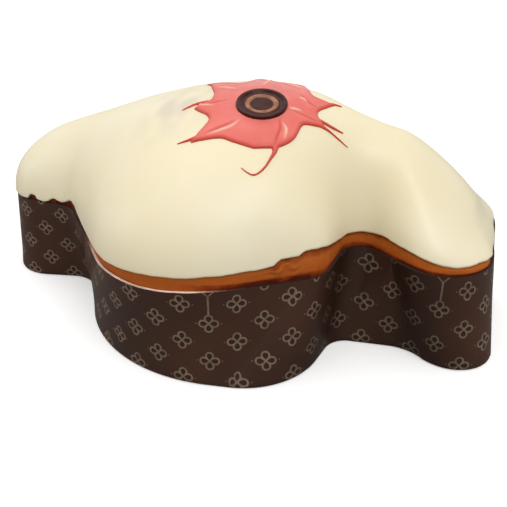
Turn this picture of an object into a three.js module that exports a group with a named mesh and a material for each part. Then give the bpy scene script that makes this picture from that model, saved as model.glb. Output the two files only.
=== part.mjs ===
// A colomba: the dove-shaped Easter cake, baked in its own printed paper case.
// Millimetres, +Z up. The head points to -X, the tail to +X, and a wing reaches out on each side of
// the X axis. The case stands on Z = 0, and the origin is the middle of the box, on that plane.
//
// The outline of one side is a belt drawn round seven circles, from the head's end to the tail's:
// arcs on the circles, and the straight tangents between them. A circle with a negative radius is a
// hollow, which the belt passes on its other side. The other side is the mirror image.

import * as THREE from "three";
import { mergeVertices } from "three/addons/utils/BufferGeometryUtils.js";

// ---------------------------------------------------------------- driving dimensions, mm
const CASE_HEIGHT = 55;
const PAPER = 1.2; // the case's fluted paper
const GAP = 0.3; // between pieces that touch
const SLOPE_STEP = 0.2; // the stretch over which the dome's slope is taken
const DEEPEST_EDGE = 0.4; // the icing's edge lies within this part of the way from the rim to the ridge
const HALVINGS = 24; // steps in the search for it
const CAKE_TOP_OF_WALL = CASE_HEIGHT - 0.5;

// centre along X, centre out from the axis, radius; then the steps on the arc and on the tangent after it
const OUTLINE = [
  { place: "head end", foot: [-132, 9, 26], rim: [-125.5, 8, 27], arcSteps: 6, runSteps: 2 },
  { place: "head notch", foot: [-104, 49, -19], rim: [-106.5, 53, -16.5], arcSteps: 4, runSteps: 3 },
  { place: "wing", foot: [6, 16, 92], rim: [-3, 38.5, 69], arcSteps: 7, runSteps: 2 },
  { place: "wing shoulder", foot: [23.5, 61, 45], rim: [49, 58.5, 23], arcSteps: 5, runSteps: 2 },
  { place: "tail notch", foot: [83, 58, -13], rim: [83.5, 42.5, -10], arcSteps: 4, runSteps: 2 },
  { place: "tail waist", foot: [105.5, 67, -24.5], rim: [86.7, 57.2, -20], arcSteps: 3, runSteps: 2 },
  { place: "tail end", foot: [136, 31.5, 22], rim: [123.5, 26, 27], arcSteps: 6, runSteps: 0 },
];

// the risen dome, as heights above the rim
const DOME_RISE = 68.8;
const DOME_ROUNDNESS = 0.49; // 0.5 would give an ellipsoid on an oval outline
const CROWN_RISE = 9.2; // the extra swelling over the body
const CROWN_X = 61;
const CROWN_LENGTH = 81;
const CROWN_WIDTH = 61;
const TAIL_FALL = 0.66; // how much of the rise the tail loses towards its end
const TAIL_FALL_FROM = 92;
const TAIL_FALL_TO = 152;

// the ridge line under the dome, where the two sides meet
const RIDGE_HEAD_X = -108;
const RIDGE_TAIL_X = 105;
const RIDGE_FOLLOWS_X = 0.72;
const RINGS = 8; // rings of facets from the icing's edge up to the ridge line
const RING_SPREAD = 1.5; // above 1 the rings crowd towards the edge, where the dome is steep

// the icing: its thickness, and how high its edge stops above the rim, from the head to the tail
const ICING = 3;
const ICING_EDGE = [
  { x: -153, height: 1 },
  { x: -84, height: 1.2 },
  { x: -38, height: 2.4 },
  { x: 12, height: 7.5 },
  { x: 50, height: 11 },
  { x: 72, height: 14 },
  { x: 84, height: 8.5 },
  { x: 107, height: 9 },
  { x: 152, height: 6.5 },
];
const OVERHANG = 1.6; // on the head the icing stands out past the paper
const OVERHANG_ENDS_X = -104;
const OVERHANG_GONE_X = -88;

// the chocolate disc
const DISC_X = 22;
const DISC_Y = -26.2;
const DISC_RADIUS = 13.9;
const DISC_THICKNESS = 2.7;
const DISC_RIM_WIDTH = 2.2;
const DISC_RIM_HEIGHT = 0.8;
const DISC_RING_RADIUS = 7.2; // the plain raised ring inside the rim
const DISC_EDGE_ROUND = 0.6;
const DISC_STEPS = 36;

// ---------------------------------------------------------------- the outline
const lerp = THREE.MathUtils.lerp;
const smoothstep = THREE.MathUtils.smoothstep;

// the outward normal's angle on the tangent from one circle of the belt to the next
function tangentAngle(from, to) {
  const dx = to[0] - from[0];
  const dy = to[1] - from[1];
  return Math.atan2(dy, dx) + Math.acos((from[2] - to[2]) / Math.hypot(dx, dy));
}

// one side of the outline, as [x, distance out from the axis], moved inwards by inset
function sideOutline(level, inset) {
  const circles = OUTLINE.map((corner) => corner[level]);
  const mirrored = ([x, out, radius]) => [x, -out, radius];
  const belt = [mirrored(circles[0]), ...circles, mirrored(circles.at(-1))];
  const onCircle = ([x, out, radius], angle) => [
    x + (radius - inset) * Math.cos(angle),
    out + (radius - inset) * Math.sin(angle),
  ];
  const side = [];
  OUTLINE.forEach((corner, i) => {
    const circle = circles[i];
    const entry = tangentAngle(belt[i], circle);
    const exit = tangentAngle(circle, belt[i + 2]);
    if (i === 0) side.push([onCircle(circle, entry)[0], 0]);
    for (let k = 0; k <= corner.arcSteps; k++) {
      side.push(onCircle(circle, lerp(entry, exit, k / corner.arcSteps)));
    }
    if (i === OUTLINE.length - 1) {
      side.push([onCircle(circle, exit)[0], 0]);
      return;
    }
    const start = side.at(-1);
    const end = onCircle(circles[i + 1], exit);
    for (let k = 1; k < corner.runSteps; k++) {
      const along = k / corner.runSteps;
      side.push([lerp(start[0], end[0], along), lerp(start[1], end[1], along)]);
    }
  });
  return side;
}

// the whole outline, counterclockwise from the head's end: the -Y side, then the +Y side back
function wholeOutline(level, inset) {
  const side = sideOutline(level, inset);
  const nearSide = side.map(([x, out]) => new THREE.Vector2(x, -out));
  const farSide = side.slice(1, -1).reverse().map(([x, out]) => new THREE.Vector2(x, out));
  return [...nearSide, ...farSide];
}

// a ring of points on the case's wall, which leans from the foot's outline to the rim's
function wallRing(height, inset) {
  const foot = wholeOutline("foot", inset);
  const rim = wholeOutline("rim", inset);
  return foot.map((point, i) => {
    const onWall = point.clone().lerp(rim[i], height / CASE_HEIGHT);
    return new THREE.Vector3(onWall.x, onWall.y, height);
  });
}

const RIM = wholeOutline("rim", 0);
const STATIONS = RIM.length;

// the point of the ridge line that each point of the outline looks to
const ridgeX = (() => {
  const side = sideOutline("rim", 0);
  const travelled = [0];
  for (let i = 1; i < side.length; i++) {
    const step = Math.hypot(side[i][0] - side[i - 1][0], side[i][1] - side[i - 1][1]);
    travelled.push(travelled[i - 1] + step);
  }
  const onSide = side.map(([x], i) => {
    const byLength = lerp(RIDGE_HEAD_X, RIDGE_TAIL_X, travelled[i] / travelled.at(-1));
    return (byLength + RIDGE_FOLLOWS_X * x) / 2;
  });
  return [...onSide, ...onSide.slice(1, -1).reverse()];
})();

const ridgeRing = (heightAt) => ridgeX.map((x) => new THREE.Vector3(x, 0, heightAt(x, 0)));

// ---------------------------------------------------------------- the dome
// The mean square of the distance from a point to the rim, seen all round it and weighted by mean
// value coordinates. It is zero on the rim and swells smoothly inside, as risen dough does.
function roomToRise(x, y) {
  const seen = RIM.map((corner) => {
    const dx = corner.x - x;
    const dy = corner.y - y;
    return { dx, dy, distance: Math.hypot(dx, dy) };
  });
  const halfAngle = seen.map((here, i) => {
    const next = seen[(i + 1) % STATIONS];
    const cross = here.dx * next.dy - here.dy * next.dx;
    const dot = here.dx * next.dx + here.dy * next.dy;
    return Math.tan(Math.atan2(cross, dot) / 2);
  });
  let weighted = 0;
  let total = 0;
  seen.forEach(({ distance }, i) => {
    const weight = (halfAngle.at(i - 1) + halfAngle[i]) / distance;
    weighted += weight * distance * distance;
    total += weight;
  });
  return weighted / total;
}

const MOST_ROOM = roomToRise(0, 0);

function domeHeight(x, y) {
  const fullness = Math.max(roomToRise(x, y), 0) / MOST_ROOM;
  const tail = 1 - TAIL_FALL * smoothstep(x, TAIL_FALL_FROM, TAIL_FALL_TO);
  const crown = Math.exp(-(((x - CROWN_X) / CROWN_LENGTH) ** 2) - (y / CROWN_WIDTH) ** 2);
  const rise = DOME_RISE * fullness ** DOME_ROUNDNESS * tail + CROWN_RISE * crown * Math.sqrt(fullness);
  return CASE_HEIGHT + rise;
}

function domeNormal(x, y) {
  const run = 2 * SLOPE_STEP;
  const slopeX = (domeHeight(x + SLOPE_STEP, y) - domeHeight(x - SLOPE_STEP, y)) / run;
  const slopeY = (domeHeight(x, y + SLOPE_STEP) - domeHeight(x, y - SLOPE_STEP)) / run;
  return new THREE.Vector3(-slopeX, -slopeY, 1).normalize();
}

// ---------------------------------------------------------------- the icing's surface
function icingEdgeHeight(x) {
  const next = Math.max(1, ICING_EDGE.findIndex((mark) => mark.x > x));
  const [from, to] = [ICING_EDGE[next - 1], ICING_EDGE[next]];
  return lerp(from.height, to.height, smoothstep(x, from.x, to.x));
}

// where the dome, on the way from the rim to the ridge line, reaches the icing's edge height
function icingEdgePoint(i) {
  const ridge = new THREE.Vector2(ridgeX[i], 0);
  const edgeRise = icingEdgeHeight(RIM[i].x);
  let low = 0;
  let high = DEEPEST_EDGE;
  for (let k = 0; k < HALVINGS; k++) {
    const middle = (low + high) / 2;
    const point = RIM[i].clone().lerp(ridge, middle);
    if (domeHeight(point.x, point.y) - CASE_HEIGHT < edgeRise) low = middle;
    else high = middle;
  }
  return RIM[i].clone().lerp(ridge, high);
}

// The icing's outer points and normals, ring by ring from its edge up to the ridge line. At the edge
// the normal leans outwards, so that the icing ends in a lip.
function icingSurface() {
  const outset = wholeOutline("rim", -OVERHANG);
  const rings = [];
  for (let k = 0; k <= RINGS; k++) {
    const climb = (k / RINGS) ** RING_SPREAD;
    rings.push(RIM.map((rimPoint, i) => {
      const onDome = icingEdgePoint(i).lerp(new THREE.Vector2(ridgeX[i], 0), climb);
      const point = new THREE.Vector3(onDome.x, onDome.y, domeHeight(onDome.x, onDome.y));
      const normal = domeNormal(onDome.x, onDome.y);
      if (k === 0) {
        const away = outset[i].clone().sub(rimPoint).normalize();
        normal.add(new THREE.Vector3(away.x, away.y, 0)).normalize();
        point.z = CASE_HEIGHT + icingEdgeHeight(rimPoint.x);
        const over = 1 - smoothstep(rimPoint.x, OVERHANG_ENDS_X, OVERHANG_GONE_X);
        point.x = lerp(point.x, outset[i].x, over);
        point.y = lerp(point.y, outset[i].y, over);
      }
      return { point, normal };
    }));
  }
  return rings;
}

const SURFACE = icingSurface();
const sunkBelowSurface = (depth) =>
  SURFACE.map((ring) => ring.map(({ point, normal }) => point.clone().addScaledVector(normal, -depth)));

// ---------------------------------------------------------------- solids
// A solid whose rings run from the ridge line underneath, outwards and up, to the ridge line on top.
// Where the rings go down again, inside a wall, the facets are split along the other diagonal, so
// that the two faces of a twisted wall keep the same facets.
function solidFromRings(rings) {
  const positions = rings.flat().flatMap((point) => [point.x, point.y, point.z]);
  const geometry = new THREE.BufferGeometry();
  geometry.setAttribute("position", new THREE.Float32BufferAttribute(positions, 3));
  const height = (ring) => ring.reduce((sum, point) => sum + point.z, 0);
  const triangles = [];
  for (let k = 0; k + 1 < rings.length; k++) {
    const descends = height(rings[k + 1]) < height(rings[k]);
    for (let i = 0; i < STATIONS; i++) {
      const next = (i + 1) % STATIONS;
      const [a, b] = [k * STATIONS + i, k * STATIONS + next];
      const [c, d] = [b + STATIONS, a + STATIONS];
      if (descends) triangles.push([a, b, d], [b, c, d]);
      else triangles.push([a, b, c], [a, c, d]);
    }
  }
  geometry.setIndex(triangles.flat());
  return withoutSlivers(mergeVertices(geometry, 1e-3));
}

// merging leaves triangles with two equal corners where a ring closes on the ridge line
function withoutSlivers(geometry) {
  const corners = geometry.index.array;
  const kept = [];
  for (let t = 0; t < corners.length; t += 3) {
    const [a, b, c] = corners.slice(t, t + 3);
    if (a !== b && b !== c && c !== a) kept.push(a, b, c);
  }
  geometry.setIndex(kept);
  geometry.computeVertexNormals();
  return geometry;
}

function paperCase() {
  return solidFromRings([
    ridgeRing(() => 0),
    wallRing(0, 0),
    wallRing(CASE_HEIGHT / 2, 0),
    wallRing(CASE_HEIGHT, 0),
    wallRing(CASE_HEIGHT, PAPER),
    wallRing(CASE_HEIGHT / 2, PAPER),
    wallRing(PAPER, PAPER),
    ridgeRing(() => PAPER),
  ]);
}

function cake() {
  const inset = PAPER + GAP;
  return solidFromRings([
    ridgeRing(() => inset),
    wallRing(inset, inset),
    wallRing(CASE_HEIGHT / 2, inset),
    wallRing(CAKE_TOP_OF_WALL, inset),
    ...sunkBelowSurface(ICING + GAP),
  ]);
}

function icing() {
  return solidFromRings([...sunkBelowSurface(ICING).reverse(), ...sunkBelowSurface(0)]);
}

// turned like a coat button: a flat back, a rounded raised rim and one plain raised ring
function chocolateDisc() {
  const floor = DISC_THICKNESS - DISC_RIM_HEIGHT;
  const rimInside = DISC_RADIUS - DISC_RIM_WIDTH;
  const ringTop = floor + DISC_RIM_HEIGHT / 2;
  const profile = [
    [0, 0],
    [DISC_RADIUS - DISC_EDGE_ROUND, 0],
    [DISC_RADIUS, DISC_EDGE_ROUND],
    [DISC_RADIUS, DISC_THICKNESS - DISC_EDGE_ROUND],
    [DISC_RADIUS - DISC_EDGE_ROUND, DISC_THICKNESS],
    [rimInside + DISC_EDGE_ROUND, DISC_THICKNESS],
    [rimInside, floor],
    [DISC_RING_RADIUS + DISC_EDGE_ROUND, floor],
    [DISC_RING_RADIUS, ringTop],
    [DISC_RING_RADIUS - DISC_EDGE_ROUND, floor],
    [0, floor],
  ];
  const geometry = new THREE.LatheGeometry(profile.map(([r, z]) => new THREE.Vector2(r, z)), DISC_STEPS);
  geometry.rotateX(Math.PI / 2);
  return geometry;
}

// ---------------------------------------------------------------- the object
function mesh(name, geometry, color, roughness) {
  const piece = new THREE.Mesh(geometry, new THREE.MeshStandardMaterial({ color, roughness, metalness: 0 }));
  piece.name = name;
  return piece;
}

const disc = mesh("chocolate_disc", chocolateDisc(), 0x3c2220, 0.35);
const discNormal = domeNormal(DISC_X, DISC_Y);
disc.position.set(DISC_X, DISC_Y, domeHeight(DISC_X, DISC_Y)).addScaledVector(discNormal, GAP);
disc.quaternion.setFromUnitVectors(new THREE.Vector3(0, 0, 1), discNormal);

const group = new THREE.Group();
group.add(
  mesh("paper_case", paperCase(), 0x3a2a22, 0.6),
  mesh("cake", cake(), 0x9a4f22, 0.75),
  mesh("icing", icing(), 0xe6dfc8, 0.4),
  disc,
);

export default group;
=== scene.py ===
# %% [markdown]
# # A colomba in its paper case
#
# A colomba is a dove-shaped Easter cake. It is baked in a printed paper case, iced with white
# chocolate, and here it carries a splash of coral glaze with a chocolate disc in it. This lesson
# builds each of those pieces round the solid model of the same cake, which is loaded first and
# never changed. Lengths are in millimetres until a vertex is placed, and Blender's are metres.

# %% Load the solid model
import math

import bpy
import numpy as np
from mathutils import Matrix, Vector, noise


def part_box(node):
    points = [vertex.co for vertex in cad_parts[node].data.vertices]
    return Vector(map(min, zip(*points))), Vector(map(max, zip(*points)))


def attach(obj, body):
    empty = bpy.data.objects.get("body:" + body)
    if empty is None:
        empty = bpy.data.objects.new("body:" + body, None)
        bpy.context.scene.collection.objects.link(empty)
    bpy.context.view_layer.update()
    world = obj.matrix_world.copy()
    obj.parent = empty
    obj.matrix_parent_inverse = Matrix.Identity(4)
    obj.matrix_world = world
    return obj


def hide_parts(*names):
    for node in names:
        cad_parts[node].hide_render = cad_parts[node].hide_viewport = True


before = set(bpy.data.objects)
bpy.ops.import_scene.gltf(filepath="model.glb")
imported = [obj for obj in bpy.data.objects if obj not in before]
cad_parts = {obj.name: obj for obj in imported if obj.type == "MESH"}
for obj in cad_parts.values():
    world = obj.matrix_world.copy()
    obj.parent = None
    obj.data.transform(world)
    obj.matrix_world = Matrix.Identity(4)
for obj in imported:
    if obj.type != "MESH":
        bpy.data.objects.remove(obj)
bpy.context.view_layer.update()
MM = 0.001
CASE_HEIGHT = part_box("paper_case")[1].z / MM
print("the case is", round(CASE_HEIGHT, 1), "mm high")

# %% [markdown]
# ## Camera, floor and light
#
# The camera is held low and close, 218.5 mm above the floor, and looks 28 degrees down past the wing in
# front. The light is that of a white studio: a pale floor, a white surround that fills every shadow,
# and large soft lamps above and to the left, whose shine shapes the dome. The floor looks white to the
# camera but throws back only the light of a grey one, so that the hollows of the case stay dark.

# %% Camera
CAMERA_PLACE = (126.8, -350.4, 218.5)
CAMERA_DOWN = 28.0
CAMERA_TURN = 18.65
LENS_MM, SENSOR_MM = 46.2, 36

bpy.ops.object.camera_add(
    location=[value * MM for value in CAMERA_PLACE],
    rotation=(math.radians(90 - CAMERA_DOWN), 0, math.radians(CAMERA_TURN)),
)
camera = bpy.context.object
camera.data.lens = LENS_MM
camera.data.sensor_width = SENSOR_MM
bpy.context.scene.camera = camera
print("camera at", [round(value, 3) for value in camera.location])


# %% Colours and nodes
def colour(hex_text):
    """An sRGB hex colour as the linear red, green, blue and alpha that Blender wants."""
    parts = [int(hex_text[k : k + 2], 16) / 255 for k in (0, 2, 4)]
    linear = [part / 12.92 if part <= 0.04045 else ((part + 0.055) / 1.055) ** 2.4 for part in parts]
    return (*linear, 1.0)


def feed(material, node, inputs):
    """Gives a node's inputs their values, or links where they are given another node's outputs.
    inputs: what goes into each, by name or number, or a tuple of what goes into the first ones."""
    for socket, value in inputs.items() if isinstance(inputs, dict) else enumerate(inputs):
        if isinstance(value, bpy.types.NodeSocket):
            material.node_tree.links.new(value, node.inputs[socket])
        else:
            node.inputs[socket].default_value = value


def add(material, kind, inputs=(), output=0, stops=(), **settings):
    """Adds a node and returns one of its outputs. stops: a colour ramp's places and hex colours."""
    made = material.node_tree.nodes.new("ShaderNode" + kind)
    for name, value in settings.items():
        setattr(made, name, value)
    for _ in stops[2:]:
        made.color_ramp.elements.new(0.5)
    for k, (place, hex_text) in enumerate(stops):
        made.color_ramp.elements[k].position = place
        made.color_ramp.elements[k].color = colour(hex_text)
    feed(material, made, inputs)
    return made.outputs[output]


def new_material(name):
    """An empty material, and its Principled shader."""
    material = bpy.data.materials.new(name)
    material.use_nodes = True
    return material, material.node_tree.nodes["Principled BSDF"]


def scale_of(size):
    """The scale of a noise texture whose lumps are about size mm across."""
    return 1 / (size * MM)


print("a mid grey is", round(colour("808080")[0], 3), "in linear light")

# %% Floor and light
FLOOR_SIZE_M = 6
WORLD_STRENGTH = 0.77
FLOOR_SEEN, FLOOR_FELT = "F4F3F1", "9A9894"
FLOOR_GLOW = 0.3
FLOOR_DROP = 0.2  # the floor lies this far under the case, so that the two never flicker
LAMPS_AIM = (0, 0, 80)

bpy.ops.mesh.primitive_plane_add(size=FLOOR_SIZE_M, location=(0, 0, -FLOOR_DROP * MM))
floor = bpy.context.object
floor.name = "studio_floor"
paint, shader = new_material("matt_white_paint")
seen = add(paint, "LightPath", output="Is Camera Ray")
tone = add(paint, "Mix", {0: seen, 6: colour(FLOOR_FELT), 7: colour(FLOOR_SEEN)}, 2, data_type="RGBA")
glow = add(paint, "Math", (seen, FLOOR_GLOW), operation="MULTIPLY")
feed(paint, shader, {"Base Color": tone, "Roughness": 0.9, "Specular IOR Level": 0.0})
feed(paint, shader, {"Emission Color": colour("FFFFFF"), "Emission Strength": glow})
floor.data.materials.append(paint)

world = bpy.data.worlds.new("white_studio")
world.use_nodes = True
surround = {"Color": (1, 1, 1, 1), "Strength": WORLD_STRENGTH}
feed(world, world.node_tree.nodes["Background"], surround)
bpy.context.scene.world = world

LAMPS = {
    # name: place in mm, size in mm, watts
    "key_softbox": ((300, -330, 760), 420, 1.8),
    "top_softbox": ((-160, 120, 860), 600, 0.9),
    "left_softbox": ((-740, -330, 400), 380, 0.75),
}
for name, (place, size, power) in LAMPS.items():
    bpy.ops.object.light_add(type="AREA", location=[value * MM for value in place])
    lamp = bpy.context.object
    lamp.name = name
    lamp.data.size = size * MM
    lamp.data.energy = power
    towards = Vector(LAMPS_AIM) * MM - lamp.location
    lamp.rotation_euler = towards.to_track_quat("-Z", "Y").to_euler()
bpy.context.scene.view_settings.view_transform = "Standard"
print(len(LAMPS), "lamps")

# %% [markdown]
# ## The outline of the dove
#
# A paper baking case is a strip of paper folded round a dove-shaped base. Its outline is a belt drawn
# round seven circles a side: arcs, and the straight tangents between them, where a negative radius is
# a hollow that the belt passes on its other side. The strip leans a little, so the foot and the rim
# each have circles of their own. The solid model uses the same circles with fewer steps.

# %% Belt round the circles
# each corner: (centre along x, centre out from the axis, radius) at the foot, and the same at the rim
OUTLINE = [
    ((-132, 9, 26), (-125.5, 8, 27)),  # head end
    ((-104, 49, -19), (-106.5, 53, -16.5)),  # head notch
    ((6, 16, 92), (-3, 38.5, 69)),  # wing
    ((23.5, 61, 45), (49, 58.5, 23)),  # wing shoulder
    ((83, 58, -13), (83.5, 42.5, -10)),  # tail notch
    ((105.5, 67, -24.5), (86.7, 57.2, -20)),  # tail waist
    ((136, 31.5, 22), (123.5, 26, 27)),  # tail end
]
FOOT, RIM_LEVEL = 0, 1
ARC_STEPS = 60


def tangent_angle(here, there):
    """The outward normal's angle on the belt's straight run from one circle to the next."""
    dx, dy = there[0] - here[0], there[1] - here[1]
    return math.atan2(dy, dx) + math.acos((here[2] - there[2]) / math.hypot(dx, dy))


def on_circle(circle, angle, inset):
    x, out, radius = circle
    return [x + (radius - inset) * math.cos(angle), out + (radius - inset) * math.sin(angle)]


def side_outline(level, inset=0.0):
    """One side of the outline, from the head's end to the tail's: x and the distance out, in mm."""
    circles = [corner[level] for corner in OUTLINE]
    first, last = circles[0], circles[-1]
    belt = [(first[0], -first[1], first[2]), *circles, (last[0], -last[1], last[2])]
    stops = []
    for before, circle, after in zip(belt, circles, belt[2:]):
        entry, leave = tangent_angle(before, circle), tangent_angle(circle, after)
        turn = np.linspace(entry, leave, ARC_STEPS + 1)
        stops.append(np.array([on_circle(circle, angle, inset) for angle in turn]))
    pieces = [np.linspace((stops[0][0][0], 0), stops[0][0], ARC_STEPS, endpoint=False)]
    for arc, following in zip(stops, stops[1:]):
        pieces += [arc, np.linspace(arc[-1], following[0], ARC_STEPS + 1)[1:-1]]
    pieces += [stops[-1], np.linspace(stops[-1][-1], (stops[-1][-1][0], 0), ARC_STEPS + 1)[1:]]
    return np.concatenate(pieces)


def length_along(points):
    steps = np.hypot(*np.diff(points, axis=0).T)
    return np.concatenate([[0], np.cumsum(steps)])


# %% Stations round the whole cake
STATIONS = 720  # columns of vertices round the cake, 1.2 mm apart
SIDE = STATIONS // 2 + 1

halfway_up = (side_outline(FOOT) + side_outline(RIM_LEVEL)) / 2
travelled = length_along(halfway_up)
STRIP = 2 * travelled[-1]  # the length of the paper strip
station_step = np.interp(np.linspace(0, STRIP / 2, SIDE), travelled, np.arange(len(travelled)))


def all_round(side):
    """The outline at every station: the -Y side from head to tail, then the +Y side back."""
    steps = np.arange(len(side))
    near = np.stack([np.interp(station_step, steps, side[:, axis]) for axis in (0, 1)], axis=1)
    far = near[1:-1][::-1]
    return np.concatenate([near * (1, -1), far])


def wall_ring(height, inset=0.0):
    """Points on the wall of the case, which leans from the foot's outline to the rim's."""
    foot, rim = (all_round(side_outline(level, inset)) for level in (FOOT, RIM_LEVEL))
    flat = foot + (rim - foot) * (height / CASE_HEIGHT)
    return np.column_stack([flat, np.full(STATIONS, float(height))])


def smoothstep(x, low, high):
    t = np.clip((np.asarray(x, float) - low) / (high - low), 0, 1)
    return t * t * (3 - 2 * t)


def lumps(points, size, seed=0.0):
    """Smooth noise between about -1 and 1, whose lumps are about size mm across."""
    shift = Vector((seed, 1.7 * seed, -seed))
    flat = np.reshape(points, (-1, 3)) / size
    values = np.array([noise.noise(Vector(point) + shift) for point in flat])
    return values.reshape(np.shape(points)[:-1])


RIM = wall_ring(CASE_HEIGHT)[:, :2]
OUTWARD = all_round(side_outline(RIM_LEVEL, -1.0)) - RIM
ARC = np.arange(STATIONS) * STRIP / STATIONS  # how far along the strip each station is
FROM_HEAD = np.minimum(ARC, STRIP - ARC)  # the same, from the head's end by the shorter way
print("the paper strip is", round(STRIP), "mm long")

# %% [markdown]
# ## The risen dome
#
# Dough in a mould rises most where it is furthest from a wall. The dome's height follows that: it
# grows with the mean square of the distance to the rim, seen all round and weighted by mean value
# coordinates, which is zero on the rim and smooth inside. A power near one half rounds it like an
# ellipsoid. The tail rises less, with a swelling of its own at the end, and the body swells a little
# more. A sculpted mesh could do as well, but a formula gives every piece on the cake the same surface
# to lie on.

# %% Room to rise
BLOCK = 1500  # points worked on at a time, to spare memory
TINY = 1e-12  # keeps a division away from zero


def room_to_rise(places):
    """The mean square of the distance to the rim, at places (x, y) in mm."""
    room = np.zeros(len(places))
    for start in range(0, len(places), BLOCK):
        block = places[start : start + BLOCK]
        dx = RIM[None, :, 0] - block[:, None, 0]
        dy = RIM[None, :, 1] - block[:, None, 1]
        distance = np.hypot(dx, dy) + TINY
        next_dx, next_dy = np.roll(dx, -1, 1), np.roll(dy, -1, 1)
        cross = dx * next_dy - dy * next_dx
        half_angle = cross / (distance * np.roll(distance, -1, 1) + dx * next_dx + dy * next_dy + TINY)
        weight = (np.roll(half_angle, 1, 1) + half_angle) / distance
        room[start : start + BLOCK] = (weight * distance**2).sum(1) / weight.sum(1)
    return room


MOST_ROOM = room_to_rise(np.zeros((1, 2)))[0]
print("the middle of the cake is about", round(math.sqrt(MOST_ROOM)), "mm from the rim")

# %% Folds that the icing left as it slid down behind the crest
CREASES = [  # points, height or depth, width
    ([(77, -2), (85, -6.3), (92, -9.5), (101, -14.5)], 0.55, 2.2),
    ([(66, -9), (78, -11.5), (89, -14), (101, -18)], -0.8, 5.0),
]


def to_stroke(places, points):
    """Distance from each place to a stroke, and how far along the stroke's nearest point is."""
    best = np.full(len(places), np.inf)
    where = np.zeros(len(places))
    for k, (start, end) in enumerate(zip(points[:-1], points[1:])):
        run = end - start
        t = np.clip(((places - start) @ run) / (run @ run), 0, 1)
        away = np.hypot(*(places - start - t[:, None] * run).T)
        closer = away < best
        best, where = np.where(closer, away, best), np.where(closer, k + t, where)
    return best, where


def fold_height(places):
    """How much the folds raise or lower the icing at places (x, y) in mm."""
    total = np.zeros(len(places))
    for points, height, width in CREASES:
        away, where = to_stroke(places, np.array(points, float))
        fade = np.sin(math.pi * where / (len(points) - 1))
        total += height * np.exp(-((away / width) ** 2)) * fade
    return total


print(len(CREASES), "folds")

# %% Height of the dome
DOME_RISE, DOME_ROUNDNESS = 68.8, 0.49
CROWN_RISE, CROWN_X, CROWN_LENGTH, CROWN_WIDTH = 9.2, 61, 81, 61
TAIL_FALL, TAIL_FALL_FROM, TAIL_FALL_TO = 0.66, 92, 152
TAIL_SWELL, SWELL_X, SWELL_LENGTH, SWELL_WIDTH = 7.5, 131, 18, 24
SWELL_STARTS, LUMPS_START = 5, 6  # how steeply the tail's swelling and the unevenness set in at the rim
# the real icing isn't perfectly smooth: low swellings and dips, as (size across, height, seed) in mm
SWELLINGS = [(52, 1.1, 3.1), (24, 0.45, 8.4), (11, 0.12, 5.7)]


def top_height(places):
    """The height of the icing's surface above the floor, at places (x, y) in mm."""
    flat = np.reshape(places, (-1, 2))
    x, y = flat.T
    fullness = np.maximum(room_to_rise(flat), 0) / MOST_ROOM
    tail = 1 - TAIL_FALL * smoothstep(x, TAIL_FALL_FROM, TAIL_FALL_TO)
    crown = np.exp(-(((x - CROWN_X) / CROWN_LENGTH) ** 2) - (y / CROWN_WIDTH) ** 2)
    swell = np.exp(-(((x - SWELL_X) / SWELL_LENGTH) ** 2) - (y / SWELL_WIDTH) ** 2)
    rise = DOME_RISE * fullness**DOME_ROUNDNESS * tail + CROWN_RISE * crown * np.sqrt(fullness)
    rise = rise + TAIL_SWELL * swell * np.minimum(fullness * SWELL_STARTS, 1)
    flat3 = np.column_stack([flat, np.zeros(len(flat))])
    uneven = sum(height * lumps(flat3, size, seed) for size, height, seed in SWELLINGS)
    rise = rise + (uneven + fold_height(flat)) * np.minimum(fullness * LUMPS_START, 1)
    return (CASE_HEIGHT + rise).reshape(np.shape(places)[:-1])


print("the dome's crown is", round(float(top_height(np.array([[CROWN_X / 2, 0.0]]))[0]), 1), "mm high")

# %% The ridge line, where the rows of vertices from both sides meet
RIDGE_HEAD_X, RIDGE_TAIL_X, RIDGE_FOLLOWS_X = -108, 105, 0.72
rim_side = RIM[:SIDE]
rim_travelled = length_along(rim_side)
ridge_side = RIDGE_HEAD_X + (RIDGE_TAIL_X - RIDGE_HEAD_X) * rim_travelled / rim_travelled[-1]
ridge_side = (ridge_side + RIDGE_FOLLOWS_X * rim_side[:, 0]) / 2
RIDGE = np.zeros((STATIONS, 2))
RIDGE[:SIDE, 0] = ridge_side
RIDGE[SIDE:, 0] = ridge_side[1:-1][::-1]
print("the ridge line is", round(float(np.ptp(ridge_side))), "mm long")

# %% [markdown]
# ## From rings of points to a mesh
#
# Every large piece here is a grid laid round the cake, so each one starts as Blender's own grid
# primitive. The grid's rows are laid along rings of points, its two ends meet and are merged, and its
# UV map is the unrolled piece, in strips round the cake: that is how the paper's print will know
# where it is.

# %% Select and edit
MERGED_WITHIN = 0.004  # vertices this close together are one


def select_only(piece):
    bpy.ops.object.select_all(action="DESELECT")
    piece.select_set(True)
    bpy.context.view_layer.objects.active = piece


def edit(piece, action="SELECT", sort="VERT"):
    """Opens a piece for editing, with everything on it selected, or nothing."""
    select_only(piece)
    bpy.ops.object.mode_set(mode="EDIT")
    bpy.ops.mesh.select_mode(type=sort)
    bpy.ops.mesh.select_all(action=action)


def choose(piece, sort, wanted):
    """Opens a piece for editing, with those of its faces or edges selected that are wanted."""
    edit(piece, "DESELECT", sort)
    bpy.ops.object.mode_set(mode="OBJECT")
    for part in piece.data.edges if sort == "EDGE" else piece.data.polygons:
        part.select = bool(wanted(part))
    bpy.ops.object.mode_set(mode="EDIT")


def close_seams(piece):
    """Merges what meets, and turns every face outwards."""
    edit(piece)
    bpy.ops.mesh.remove_doubles(threshold=MERGED_WITHIN * MM)
    bpy.ops.mesh.normals_make_consistent(inside=False)
    bpy.ops.object.mode_set(mode="OBJECT")
    bpy.ops.object.shade_smooth()


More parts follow.
